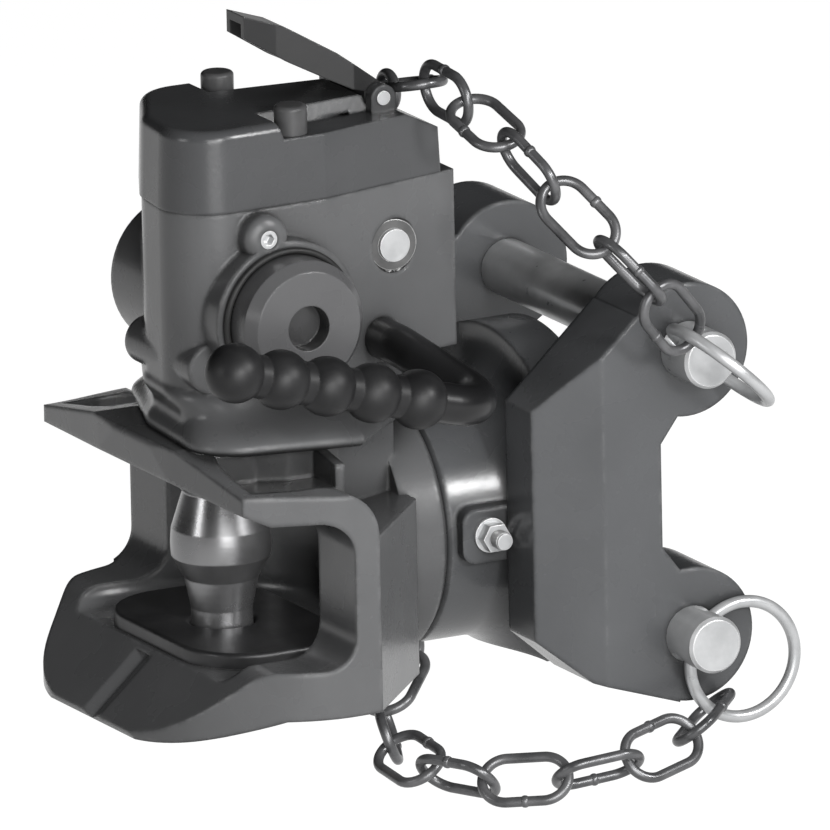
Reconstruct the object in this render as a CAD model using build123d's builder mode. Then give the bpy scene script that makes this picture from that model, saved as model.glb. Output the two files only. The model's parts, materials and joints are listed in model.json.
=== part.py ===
"""Automatic pin coupling for a tractor's trailer, on its height-adjustable bearing bracket.

Frame: origin on the coupling pin's axis at the height of its crown, +X towards the tractor,
-Y towards the hand lever, +Z up. Millimetres.
"""
import os
from math import asin, atan2, cos, degrees, radians, sin

from build123d import *

os.makedirs("parts", exist_ok=True)

# Fits shared by several pieces
running_gap = 0.05
seat_gap = 0.3
part_gap = 0.5

# Coupling pin
crown_radius = 24
crown_half_height = 9
neck_radius = 15
waist_radius = 18
stem_radius = 25
pin_foot_z = -52
neck_top_z = -31
waist_z = 27
stem_bottom_z = 35.5
stem_top_z = 85
pin_lift = 84
notch_slack = 3
notch_flare = 8
spring_seat_radius = 11
spring_seat_height = 5

# Jaw
jaw_half_width = 118
jaw_rear_x = 25
post_front_x = 12
roof_z = 36
floor_z = -46
jaw_bottom_z = -60
bar_top_z = 51
bar_corner = 24
throat_radius = 84
throat_centre_x = -16
window_radius = 17
throat_fillet = 18
throat_relief = 0.6
floor_fillet = 8
lip_front_x = -46
lip_inner_x = -27
lip_tip_z = 45
lip_crown_z = 63
lip_flat_half = 37
wing_half_width = 104
chin_x = -71
chin_top_z = -74
chin_bottom_z = -77
rim_z = -37
groove_width = 18
groove_depth = 2.5

# Wear plate and pin bushes
wear_thickness = 8
wear_front_x = -38
wear_rear_x = 44
wear_half_width = 66
wear_corner = 34
bush_wall = 4
upper_bush_top_z = 70

# Collar, shank and nut behind the jaw
collar_front_x = 72
collar_rear_x = 91
collar_radius = 64
shank_radius = 32
thread_radius = 18
shank_end_x = 208
tail_washer_radius = 46
tail_washer_thickness = 7
nut_flats = 50
nut_height = 24
cotter_radius = 2.5

# Housing above the jaw
flange_half_width = 82
neck_half_width = 60
pocket_floor_z = 44
pocket_outer_y = 103
flange_rear_x = 84
flange_bottom_z = 61
flange_top_z = 69
housing_foot_z = 90
housing_half_width = 50
housing_front_x = -37
housing_break_x = 36
housing_rear_x = 114
housing_rear_half = 31
housing_top_z = 177
nose_radius = 26
nose_skew = 6
nose_cut = 24
chamber_half_width = 13
chamber_rear_x = 88
chamber_low_rear_x = 67
chamber_floor_z = 46
cap_top_z = 217
cap_wall = 7
cap_edge = 5
cap_slope_start_x = 70
cap_slope_drop = 16

# Spring barrel across the housing
barrel_x = 8
barrel_z = 124
barrel_radius = 38
barrel_near_stand = 10
barrel_far_stand = 1
barrel_bore = 30
barrel_bore_depth = 24
plug_radius = 32
near_plug_stand = 22
far_plug_stand = 10
plug_chamfer = 6
plug_hole_radius = 11
plug_hole_depth = 10
seal_wire = 1.6
side_tube_x = -27
side_tube_z = 101
side_tube_radius = 12
side_tube_inset = 3
side_tube_far = 20

# Hand lever and lift arm
lever_x = 68
lever_z = 102
lever_radius = 10
lever_inner_y = 33
lever_straight_y = -60
lever_reach = 139
lever_corner_x = 80
lever_corner_z = 86
lever_bend = 22
grip_pitch_angle = 15.3
bead_radius = 14.5
bead_pitch = 25.3
bead_count = 5
first_bead_distance = 45.5
arm_length = 64
arm_nose_radius = 7
arm_hub_radius = 17
arm_half_thickness = 7
arm_hub_half = 12

# Latch shaft and the plug screw beside the cap
latch_x = 77
latch_z = 146
latch_radius = 8
latch_half_length = 40
latch_face_radius = 13.5
latch_face_y = 36.5
circlip_radius = 12.5
circlip_thickness = 1.5
stop_x = -1
stop_z = 164
stop_radius = 11.5
stop_stand = 10
stop_bore = 4.5
stop_edge = 5

# Indicator pins
indicator_x = 23
indicator_inset = 12
indicator_radius = 8
indicator_top_z = 223
indicator_length = 44
ledge_z = 209
ledge_front_x = 14
ledge_inner_y = 27

# Release lever behind the cap
release_pivot_x = 79
release_pivot_z = 216
release_half_width = 20
release_tip_half_width = 9
release_thickness = 4
release_pin_radius = 3.5
release_ear = 6

# Bearing bracket
hub_radius = 62
hub_cone_x = 122
hub_flare_radius = 88
block_bottom_z = -67
block_front_x = 146
block_rear_x = 172
bush_outer_radius = 37
hub_bush_length = 12
cheek_inner_y = 70
cheek_thickness = 44
cheek_front_x = 119
cheek_bend_x = 149
cheek_bend_offset = 18
cheek_rear_x = 180
cheek_front_top_z = 70
cheek_front_bottom_z = -44
lug_radius = 33
cross_pin_x = 195
upper_pin_z = 94.5
cross_pin_spacing = 141.5
cross_pin_radius = 14
cross_pin_near = 139
cross_pin_far = 122

# Pull rings
ring_mean_radius = 28.5
ring_wire = 6
ring_hole_y = 119.5
ring_hole_gap = 0.8
upper_ring_turn = -47
lower_ring_turn = 31

# Chain
chain_wire = 5
link_width = 29
link_pitch = 36
link_slack = 0.8
eye_radius = 8
upper_eye_x = 101
upper_eye_y = 10
upper_eye_z = 209
lower_eye_x = 102

# Swivel brake
brake_x = 113
brake_z = 4
brake_pad_length = 34
brake_pad_height = 27
brake_pad_y = 68
brake_stud_x = 110.5
brake_stud_radius = 4
brake_nut_flats = 13
brake_nut_height = 6.5
brake_washer_radius = 8.5
brake_washer_thickness = 1.6
brake_stud_end = 84
brake_shoe_radius = 6.5
brake_shoe_length = 10

# Sizes that follow from the ones above
barrel_near = housing_half_width + barrel_near_stand
barrel_far = housing_half_width + barrel_far_stand
side_tube_near = housing_half_width - side_tube_inset
indicator_y = housing_half_width - indicator_inset
lower_pin_z = upper_pin_z - cross_pin_spacing
cheek_outer_y = cheek_inner_y + cheek_thickness
hub_front_x = collar_rear_x + seat_gap
upper_bush_radius = stem_radius + bush_wall
lower_bush_radius = neck_radius + bush_wall
arm_swing = degrees(asin(pin_lift / 2 / arm_length))
arm_nose_z = lever_z - pin_lift / 2
notch_half = arm_nose_radius + notch_slack
cap_ceiling_z = cap_top_z - cap_wall
tail_washer_x = block_rear_x + seat_gap
nut_x = tail_washer_x + tail_washer_thickness
shank_cotter_x = nut_x + nut_height - 6


def mirrored(points):
    """Close a list of (x, y) points with y >= 0 by its mirror image."""
    return [(x, -y) for x, y in points if y > 0] + list(reversed(points))


def plan_face(points):
    """Fill a plan that is symmetric about X in the open sketch."""
    Polygon(*mirrored(points), align=None)


def housing_face(front, front_half, half, rear, rear_half):
    """Fill a plan whose far front corner is cut away, with a rounded nose."""
    Polygon(
        (front - nose_skew, -front_half),
        (housing_break_x, -half),
        (rear, -rear_half),
        (rear, rear_half),
        (housing_break_x, half),
        (front + nose_cut, front_half),
        (front, nose_skew / 2),
        align=None,
    )


def round_nose(sketch):
    """Round the three front corners of a plan."""
    fillet(sketch.vertices().sort_by(Axis.X)[:3], nose_radius)


def both_sides(points):
    """Carry a curve from front to rear on to its mirror image, near rear to far rear."""
    return [(x, -y) for x, y in reversed(points) if y > 0] + points


def cap_slope_z(x):
    """Height of the cap's sloping rear at a station x."""
    return cap_top_z - (x - cap_slope_start_x) * cap_slope_drop / 32


def save(piece, name):
    """Label a finished piece and write it."""
    piece.part.label = name
    export_step(piece.part, f"parts/{name}.step")


# Lower jaw: side profile carried across the width and trimmed to its plan
with BuildPart() as lower_jaw_form:
    with BuildSketch(Plane.XZ) as lower_side:
        with BuildLine():
            Polyline(
                (chin_x - 1, chin_top_z),
                (lip_inner_x - 3, rim_z),
                (post_front_x, rim_z),
                (post_front_x, 0),
                (jaw_rear_x, 0),
                (jaw_rear_x, jaw_bottom_z),
                (lip_inner_x + 6, jaw_bottom_z - 1),
                (lip_inner_x - 18, jaw_bottom_z - 9),
                (chin_x, chin_bottom_z),
                close=True,
            )
        make_face()
        fillet(
            lower_side.vertices().sort_by_distance((post_front_x, rim_z))[0],
            window_radius,
        )
        fillet(
            lower_side.vertices().sort_by_distance((lip_inner_x - 3, rim_z))[0],
            window_radius,
        )
    extrude(amount=jaw_half_width, both=True)
    with BuildSketch(Plane.XY.offset(chin_bottom_z - 5)):
        with BuildLine():
            Spline(
                *both_sides([
                    (chin_x - 2, 0),
                    (chin_x, 44),
                    (-56, 78),
                    (-43, 91),
                    (-18, 109),
                    (4, jaw_half_width - 1),
                    (jaw_rear_x, jaw_half_width),
                ]),
                tangents=[(-1, 0), (1, 0)],
            )
            Line((jaw_rear_x, jaw_half_width), (jaw_rear_x, -jaw_half_width))
        make_face()
    extrude(amount=-chin_bottom_z + 10, mode=Mode.INTERSECT)
    # shallow groove down the middle of the chin
    slope = Vector(lip_inner_x - 2 - chin_x, 0, rim_z - chin_top_z).normalized()
    with BuildSketch(
        Plane(Vector(chin_x - 1, 0, chin_top_z) - 5 * slope, x_dir=(0, 1, 0), z_dir=slope)
    ):
        Polygon(
            (-groove_width / 2, 0.1),
            (0, -groove_depth),
            (groove_width / 2, 0.1),
            align=None,
        )
    extrude(amount=44, mode=Mode.SUBTRACT)

# Upper jaw: crowned visor with swept wings, and bars that run down into the side posts
with BuildPart() as upper_jaw_form:
    with BuildSketch(Plane.XZ) as upper_side:
        with BuildLine():
            Polyline(
                (jaw_rear_x, 0),
                (jaw_rear_x, lip_crown_z),
                (lip_front_x, lip_crown_z - 1),
                (lip_front_x - 1, lip_crown_z - 4),
                (lip_front_x, lip_tip_z),
                (lip_inner_x, roof_z),
                (post_front_x, roof_z),
                (post_front_x, 0),
                close=True,
            )
        make_face()
        fillet(
            upper_side.vertices().sort_by_distance((post_front_x, roof_z))[0],
            window_radius,
        )
    extrude(amount=jaw_half_width, both=True)
    with BuildSketch(Plane.YZ.offset(lip_front_x - 5)):
        with BuildLine():
            Polyline(
                (jaw_half_width, 0),
                (jaw_half_width, bar_top_z - 2),
                (wing_half_width, bar_top_z),
                (lip_flat_half, lip_crown_z),
                (-lip_flat_half, lip_crown_z),
                (-wing_half_width, bar_top_z),
                (-jaw_half_width, bar_top_z - 2),
                (-jaw_half_width, 0),
                close=True,
            )
        make_face()
    extrude(amount=120, mode=Mode.INTERSECT)
    with BuildSketch(Plane.XY):
        with BuildLine():
            Polyline(*both_sides([
                (lip_front_x - 2, 0),
                (lip_front_x, lip_flat_half),
                (lip_front_x + 5, wing_half_width),
            ]))
            for side in (-1, 1):
                Spline(
                    (lip_front_x + 5, side * wing_half_width),
                    (-18, side * 109),
                    (6, side * (jaw_half_width - 1)),
                    (jaw_rear_x, side * jaw_half_width),
                )
            Line((jaw_rear_x, jaw_half_width), (jaw_rear_x, -jaw_half_width))
        make_face()
    extrude(amount=lip_crown_z + 10, mode=Mode.INTERSECT)
    # pocket on each side between the skirt and the bar
    for side in (-1, 1):
        with BuildSketch(Plane.XY.offset(pocket_floor_z)):
            Polygon(
                (lip_front_x + 12, side * (neck_half_width + 8)),
                (lip_front_x + 12, side * (pocket_outer_y - 5)),
                (-12, side * (pocket_outer_y - 1)),
                (jaw_rear_x - 5, side * pocket_outer_y),
                (jaw_rear_x - 5, side * (neck_half_width - 6)),
                (-30, side * (neck_half_width - 6)),
                align=None,
            )
        extrude(amount=30, mode=Mode.SUBTRACT)
    for side in (-1, 1):
        with BuildSketch(Plane.XZ.offset(side * (jaw_half_width + 1))):
            with Locations((jaw_rear_x - bar_corner, bar_top_z - bar_corner)):
                Rectangle(bar_corner + 30, bar_corner + 30, align=(Align.MIN, Align.MIN))
                Circle(bar_corner, mode=Mode.SUBTRACT)
        extrude(amount=-side * (jaw_half_width - flange_half_width), mode=Mode.SUBTRACT)

# Domed boss for the stop screw
with BuildPart() as stop_boss:
    with BuildSketch(Plane.XZ.offset(housing_half_width + stop_stand)):
        with Locations((stop_x, stop_z)):
            Circle(stop_radius)
    extrude(amount=-2 * stop_stand)
    fillet(stop_boss.edges().sort_by(Axis.Y)[0], stop_edge)

# One casting: jaw, housing with its spring barrel, collar and shank
with BuildPart() as head_casting:
    add(lower_jaw_form.part)
    add(upper_jaw_form.part)
    with BuildSketch(Plane.XY.offset(jaw_bottom_z)):
        plan_face([
            (post_front_x, 0),
            (post_front_x, jaw_half_width - 6),
            (jaw_rear_x, jaw_half_width - 1),
            (collar_front_x, collar_radius + 2),
            (collar_front_x, 0),
        ])
    extrude(amount=bar_top_z - bar_corner - jaw_bottom_z)
    with BuildSketch(Plane.XY.offset(bar_top_z - bar_corner)):
        plan_face([
            (post_front_x - 34, 0),
            (post_front_x - 34, neck_half_width - 12),
            (post_front_x - 6, neck_half_width),
            (jaw_rear_x + 8, neck_half_width),
            (collar_front_x, 44),
            (collar_front_x, 0),
        ])
    extrude(amount=flange_bottom_z - bar_top_z + bar_corner)
    # throat: a bowl about the pin, closed behind
    with BuildSketch(Plane.XZ) as bowl:
        with Locations((throat_centre_x, floor_z)):
            Rectangle(
                throat_radius,
                roof_z + throat_relief - floor_z,
                align=(Align.MIN, Align.MIN),
            )
        rear_corners = bowl.vertices().group_by(Axis.X)[-1].sort_by(Axis.Y)
        fillet(rear_corners[1], throat_fillet)
        fillet(bowl.vertices().group_by(Axis.X)[-1].sort_by(Axis.Y)[0], floor_fillet)
    revolve(axis=Axis((throat_centre_x, 0, 0), (0, 0, 1)), mode=Mode.SUBTRACT)
    # flange and housing
    for height, inset, grow in (
        (flange_bottom_z, 4, 1),
        (flange_top_z - 3, 0, 1),
        (flange_top_z + 5, 4, 0.75),
        (housing_foot_z - 7, 0, 0.2),
        (housing_foot_z, 0, 0),
    ):
        with BuildSketch(Plane.XY.offset(height)) as skirt_plan:
            housing_face(
                housing_front_x + inset,
                housing_half_width + 18 * grow - inset,
                housing_half_width - 2 + 34 * grow - inset,
                housing_rear_x - 12 - (housing_rear_x - 12 - flange_rear_x) * grow - inset,
                housing_rear_half + 3 + 5 * grow - inset,
            )
            round_nose(skirt_plan)
    loft()
    with BuildSketch(Plane.XY.offset(housing_foot_z)) as housing_plan:
        housing_face(
            housing_front_x,
            housing_half_width,
            housing_half_width - 2,
            housing_rear_x,
            housing_rear_half,
        )
        round_nose(housing_plan)
    extrude(amount=housing_top_z - housing_foot_z)
    with Locations((barrel_x, (barrel_far - barrel_near) / 2, barrel_z)):
        Cylinder(barrel_radius, barrel_far + barrel_near, rotation=(90, 0, 0))
    with Locations((side_tube_x, (side_tube_far - side_tube_near) / 2, side_tube_z)):
        Cylinder(side_tube_radius, side_tube_far + side_tube_near, rotation=(90, 0, 0))
    add(stop_boss.part)
    # collar and shank, turned about X
    with BuildSketch(Plane.XZ):
        with BuildLine():
            Polyline(
                (collar_front_x - 4, 0),
                (collar_front_x - 4, collar_radius - 2),
                (collar_rear_x - 3, collar_radius),
                (collar_rear_x, collar_radius - 3),
                (collar_rear_x, shank_radius),
                (tail_washer_x, shank_radius),
                (tail_washer_x, thread_radius),
                (shank_end_x - 3, thread_radius),
                (shank_end_x, thread_radius - 3),
                (shank_end_x, 0),
                close=True,
            )
        make_face()
    revolve(axis=Axis.X)
    # bores
    with Locations((0, 0, (roof_z + housing_top_z) / 2 - 1)):
        Cylinder(upper_bush_radius, housing_top_z - roof_z + 4, mode=Mode.SUBTRACT)
    with Locations((0, 0, jaw_bottom_z)):
        Cylinder(lower_bush_radius, 60, mode=Mode.SUBTRACT)
    for rear_x, bottom_z in (
        (chamber_low_rear_x, chamber_floor_z),
        (chamber_rear_x, lever_z - arm_hub_radius - 2),
    ):
        with Locations((0, 0, bottom_z)):
            Box(
                rear_x,
                2 * chamber_half_width,
                housing_top_z - bottom_z + 1,
                align=(Align.MIN, Align.CENTER, Align.MIN),
                mode=Mode.SUBTRACT,
            )
    with Locations((lever_x, 0, lever_z)):
        Cylinder(lever_radius + running_gap, 240, rotation=(90, 0, 0), mode=Mode.SUBTRACT)
        Cylinder(
            arm_hub_radius + 2,
            2 * arm_hub_half + 2,
            rotation=(90, 0, 0),
            mode=Mode.SUBTRACT,
        )
    with Locations((latch_x, 0, latch_z)):
        Cylinder(latch_radius + running_gap, 240, rotation=(90, 0, 0), mode=Mode.SUBTRACT)
    for side, barrel_end in ((-1, barrel_near), (1, barrel_far)):
        with Locations((latch_x, side * (latch_face_y + 10), latch_z)):
            Cylinder(latch_face_radius, 20, rotation=(90, 0, 0), mode=Mode.SUBTRACT)
        with Locations((barrel_x, side * (barrel_end - barrel_bore_depth / 2), barrel_z)):
            Cylinder(
                barrel_bore,
                barrel_bore_depth,
                rotation=(90, 0, 0),
                mode=Mode.SUBTRACT,
            )
        with Locations((indicator_x, side * indicator_y, housing_top_z)):
            Cylinder(indicator_radius + running_gap, 2 * 20, mode=Mode.SUBTRACT)
    with Locations((stop_x, -housing_half_width - stop_stand, stop_z)):
        Cylinder(stop_bore, 2 * stop_stand, rotation=(90, 0, 0), mode=Mode.SUBTRACT)
    with Locations((shank_cotter_x, 0, 0)):
        Cylinder(cotter_radius + 0.2, 2 * thread_radius, mode=Mode.SUBTRACT)
save(head_casting, "head_casting")

# Wear plate round the pin on the jaw's floor
with BuildPart() as wear_plate:
    with BuildSketch(Plane.XY.offset(floor_z)) as wear_plan:
        plan_face([(wear_front_x, wear_half_width), (wear_rear_x, wear_half_width)])
        fillet(wear_plan.vertices(), wear_corner)
        Circle(neck_radius + 1, mode=Mode.SUBTRACT)
    extrude(amount=wear_thickness)
    fillet(wear_plate.edges().group_by(Axis.Z)[-1], 2)
save(wear_plate, "wear_plate")

# Bushes that guide the pin
with BuildPart() as lower_pin_bush:
    with Locations((0, 0, (floor_z + jaw_bottom_z) / 2)):
        Cylinder(lower_bush_radius, floor_z - jaw_bottom_z)
        Cylinder(neck_radius + running_gap, floor_z - jaw_bottom_z, mode=Mode.SUBTRACT)
save(lower_pin_bush, "lower_pin_bush")

with BuildPart() as upper_pin_bush:
    with Locations((0, 0, (roof_z + upper_bush_top_z) / 2)):
        Cylinder(upper_bush_radius, upper_bush_top_z - roof_z)
        Cylinder(stem_radius + running_gap, upper_bush_top_z - roof_z, mode=Mode.SUBTRACT)
    with Locations((upper_bush_radius, 0, (chamber_floor_z + upper_bush_top_z) / 2 + 1)):
        Box(
            2 * upper_bush_radius,
            2 * chamber_half_width,
            upper_bush_top_z - chamber_floor_z + 2,
            mode=Mode.SUBTRACT,
        )
save(upper_pin_bush, "upper_pin_bush")

# Coupling pin with its crown, and the notch that the lift arm works in
with BuildPart() as coupling_pin:
    with BuildSketch(Plane.XZ):
        with BuildLine():
            Polyline(
                (waist_radius, waist_z),
                (stem_radius, stem_bottom_z),
                (stem_radius, stem_top_z - 2),
                (stem_radius - 2, stem_top_z),
                (spring_seat_radius, stem_top_z),
                (spring_seat_radius, stem_top_z + spring_seat_height),
                (0, stem_top_z + spring_seat_height),
                (0, pin_foot_z),
                (neck_radius - 3, pin_foot_z),
                (neck_radius, pin_foot_z + 3),
                (neck_radius, neck_top_z),
            )
            Polyline(
                (neck_radius, neck_top_z),
                (neck_radius + 3, -crown_half_height - 7),
                (crown_radius, -crown_half_height + 4),
            )
            ThreePointArc(
                (crown_radius, -crown_half_height + 4),
                (crown_radius + 0.3, 2),
                (crown_radius - 0.3, crown_half_height),
            )
            Line((crown_radius - 0.3, crown_half_height), (waist_radius, waist_z))
        make_face()
    revolve(axis=Axis.Z)
    with BuildSketch(Plane.XZ):
        with BuildLine():
            Polyline(
                (-5, arm_nose_z - notch_half),
                (-5, arm_nose_z + notch_half),
                (10, arm_nose_z + notch_half),
                (stem_radius + 1, arm_nose_z + notch_half + notch_flare),
                (stem_radius + 1, arm_nose_z - notch_half - notch_flare),
                (10, arm_nose_z - notch_half),
                close=True,
            )
        make_face()
    extrude(amount=arm_half_thickness + 1, both=True, mode=Mode.SUBTRACT)
save(coupling_pin, "coupling_pin")

# Closing spring between the pin and the cap
with BuildPart() as closing_spring:
    spring_bottom = stem_top_z + 2 + seat_gap
    spring_top = cap_ceiling_z - 2 - seat_gap
    with BuildLine():
        Helix(pitch=(spring_top - spring_bottom) / 5, height=spring_top - spring_bottom, radius=16,
              center=(0, 0, spring_bottom))
    with BuildSketch(Plane((16, 0, spring_bottom), x_dir=(1, 0, 0), z_dir=(0, 1, 0))):
        Circle(2)
    sweep(is_frenet=True)
save(closing_spring, "closing_spring")

# Lift arm on the lever's shaft: hub, arm and a round nose in the pin's notch
with BuildPart() as lift_arm:
    nose_x = lever_x - arm_length * cos(radians(arm_swing))
    with BuildSketch(Plane.XZ) as arm_side:
        with Locations((lever_x, lever_z)):
            Circle(arm_hub_radius - 3)
        with Locations((nose_x, arm_nose_z)):
            Circle(arm_nose_radius)
        make_hull()
    extrude(amount=arm_half_thickness, both=True)
    with Locations((lever_x, 0, lever_z)):
        Cylinder(arm_hub_radius, 2 * arm_hub_half, rotation=(90, 0, 0))
        Cylinder(lever_radius, 2 * arm_hub_half, rotation=(90, 0, 0), mode=Mode.SUBTRACT)
save(lift_arm, "lift_arm")

# Hand lever: one bent round bar, through the housing and forward along the grip
with BuildPart() as hand_lever:
    grip_end = first_bead_distance + bead_pitch * (bead_count - 1)
    grip_x = lever_corner_x - grip_end * cos(radians(grip_pitch_angle))
    grip_z = lever_corner_z + grip_end * sin(radians(grip_pitch_angle))
    with BuildLine():
        FilletPolyline(
            (lever_x, lever_inner_y, lever_z),
            (lever_x, lever_straight_y, lever_z),
            (lever_corner_x, -lever_reach, lever_corner_z),
            (grip_x, -lever_reach, grip_z),
            radius=lever_bend,
        )
    with BuildSketch(Plane(origin=(lever_x, lever_inner_y, lever_z), z_dir=(0, -1, 0))):
        Circle(lever_radius)
    sweep()
save(hand_lever, "hand_lever")

# Beaded grip moulded over the bar's front end
with BuildPart() as lever_grip:
    grip_frame = Plane(
        origin=(lever_corner_x, -lever_reach, lever_corner_z),
        x_dir=(-cos(radians(grip_pitch_angle)), 0, sin(radians(grip_pitch_angle))),
        z_dir=(0, -1, 0),
    )
    with BuildSketch(grip_frame) as bead_row:
        for bead in range(bead_count):
            with Locations((first_bead_distance + bead * bead_pitch, 0)):
                Circle(bead_radius)
        with Locations((first_bead_distance - 4, 0)):
            Rectangle(
                bead_pitch * (bead_count - 1),
                2 * (bead_radius - 4),
                align=(Align.MIN, Align.CENTER),
            )
        with Locations((0, -2 * bead_radius)):
            Rectangle(600, 4 * bead_radius, mode=Mode.SUBTRACT)
    revolve(axis=Axis(grip_frame.origin, grip_frame.x_dir))
    with Locations(grip_frame):
        Cylinder(
            lever_radius,
            2 * grip_end,
            rotation=(0, 90, 0),
            mode=Mode.SUBTRACT,
        )
save(lever_grip, "lever_grip")

# Barrel plugs, one on each side, with their seal rings
for side, place, barrel_end, plug_stand in (
    (-1, "near", barrel_near, near_plug_stand),
    (1, "far", barrel_far, far_plug_stand),
):
    face_y = side * barrel_end
    with BuildPart() as barrel_plug:
        with Locations((barrel_x, face_y + side * plug_stand / 2, barrel_z)):
            Cylinder(plug_radius, plug_stand, rotation=(90, 0, 0))
        chamfer(
            barrel_plug.edges().filter_by(GeomType.CIRCLE).sort_by(Axis.Y)[-1 if side > 0 else 0],
            plug_chamfer,
            length2=plug_chamfer * 0.75,
        )
        with Locations((barrel_x, face_y - side * barrel_bore_depth / 2, barrel_z)):
            Cylinder(barrel_bore - running_gap, barrel_bore_depth, rotation=(90, 0, 0))
        with Locations((barrel_x, face_y + side * (plug_stand - plug_hole_depth / 2), barrel_z)):
            Cylinder(plug_hole_radius, plug_hole_depth, rotation=(90, 0, 0), mode=Mode.SUBTRACT)
    save(barrel_plug, f"{place}_barrel_plug")
    with BuildPart() as seal_ring:
        with BuildSketch(Plane.XY.offset(barrel_z)):
            with Locations((barrel_x + plug_radius + seal_wire, face_y + side * seal_wire)):
                Circle(seal_wire)
        revolve(axis=Axis((barrel_x, 0, barrel_z), (0, 1, 0)))
    save(seal_ring, f"{place}_seal_ring")

# Cap over the housing, hollow, with a ledge on each side for the indicator pins
with BuildPart() as cap:
    with BuildSketch(Plane.XY.offset(housing_top_z)) as cap_foot:
        housing_face(
            housing_front_x - 1,
            housing_half_width + 1,
            housing_half_width - 1,
            housing_rear_x - 8,
            housing_rear_half + 2,
        )
        round_nose(cap_foot)
    extrude(amount=cap_top_z - housing_top_z, taper=2)
    fillet(cap.edges().group_by(Axis.Z)[-1], cap_edge)
    with BuildSketch(Plane.XY.offset(housing_top_z)) as cap_inside:
        plan_face([
            (-24, 8),
            (-12, housing_half_width - cap_wall - 20),
            (cap_slope_start_x - cap_wall, housing_rear_half - cap_wall - 2),
        ])
    extrude(amount=cap_ceiling_z - housing_top_z, mode=Mode.SUBTRACT)
    for side in (-1, 1):
        with BuildSketch(Plane.XY.offset(ledge_z)):
            with BuildLine():
                Polyline(
                    (ledge_front_x, side * (housing_half_width + 9)),
                    (ledge_front_x, side * ledge_inner_y),
                    (housing_rear_x, side * ledge_inner_y * 0.6),
                    (housing_rear_x, side * (housing_half_width + 9)),
                    close=True,
                )
            make_face()
        extrude(amount=40, taper=-20, mode=Mode.SUBTRACT)
        with Locations((indicator_x, side * indicator_y, housing_top_z + 20)):
            Cylinder(indicator_radius + running_gap, 60, mode=Mode.SUBTRACT)
    with BuildSketch(Plane.XZ):
        with BuildLine():
            Polyline(
                (cap_slope_start_x, cap_top_z),
                (housing_rear_x, cap_slope_z(housing_rear_x)),
                (housing_rear_x, cap_top_z + 1),
                (cap_slope_start_x, cap_top_z + 1),
                close=True,
            )
        make_face()
    extrude(amount=housing_half_width, both=True, mode=Mode.SUBTRACT)
    # scallop, ears and pin bore for the release lever
    with Locations((release_pivot_x, 0, release_pivot_z)):
        Cylinder(
            release_pin_radius + 3 + part_gap,
            2 * release_half_width + 2,
            rotation=(90, 0, 0),
            mode=Mode.SUBTRACT,
        )
    for side in (-1, 1):
        with BuildSketch(Plane.XZ.offset(-side * (release_half_width + 1))) as ear_side:
            with Locations((release_pivot_x, release_pivot_z)):
                Circle(release_pin_radius + 3)
            with Locations((release_pivot_x, cap_slope_z(release_pivot_x) - 5)):
                Rectangle(13, 2)
            make_hull()
        extrude(amount=-side * release_ear)
    with Locations((release_pivot_x, 0, release_pivot_z)):
        Cylinder(release_pin_radius, 100, rotation=(90, 0, 0), mode=Mode.SUBTRACT)
save(cap, "cap")

# Indicator pins
for side, place in ((-1, "near"), (1, "far")):
    with BuildPart() as indicator:
        with Locations((indicator_x, side * indicator_y, indicator_top_z - indicator_length / 2)):
            Cylinder(indicator_radius, indicator_length)
        fillet(indicator.edges().filter_by(GeomType.CIRCLE).sort_by(Axis.Z)[-1], 2)
    save(indicator, f"{place}_indicator_pin")

# Latch shaft with a circlip at each end
with BuildPart() as latch_shaft:
    with Locations((latch_x, 0, latch_z)):
        Cylinder(latch_radius, 2 * latch_half_length, rotation=(90, 0, 0))
save(latch_shaft, "latch_shaft")

with BuildPart() as latch_circlips:
    for side in (-1, 1):
        with Locations((latch_x, side * (latch_face_y + circlip_thickness / 2), latch_z)):
            Cylinder(circlip_radius, circlip_thickness, rotation=(90, 0, 0))
            Cylinder(latch_radius, 4, rotation=(90, 0, 0), mode=Mode.SUBTRACT)
save(latch_circlips, "latch_circlips")

# Stop screw in the domed boss beside the cap, with a hexagon recess
with BuildPart() as stop_screw:
    with BuildSketch(Plane.XZ.offset(housing_half_width)):
        with Locations((stop_x, stop_z)):
            Circle(stop_bore)
    extrude(amount=stop_stand - 0.5)
    with BuildSketch(Plane.XZ.offset(housing_half_width + stop_stand - 0.5)):
        with Locations((stop_x, stop_z)):
            RegularPolygon(2.9, 6)
    extrude(amount=-5, mode=Mode.SUBTRACT)
save(stop_screw, "stop_screw")

# Release lever: a tapered channel, open below, that turns on a cross pin behind the cap
with BuildPart() as release_hollow:
    with BuildSketch(Plane.XZ):
        Polygon(
            (10, 240),
            (66, 208),
            (72, 222),
            (59, 239 - 1.3 * release_thickness),
            (35, 253.5 - 1.2 * release_thickness),
            (10, 263 - 1.2 * release_thickness),
            align=None,
        )
    extrude(amount=release_half_width, both=True)
    with BuildSketch(Plane.XY.offset(cap_slope_z(housing_rear_x))):
        plan_face([
            (5, release_tip_half_width - release_thickness),
            (30, release_tip_half_width + 2 - release_thickness),
            (release_pivot_x - 12, release_half_width - release_thickness),
        ])
    extrude(amount=100, mode=Mode.INTERSECT)

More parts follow.
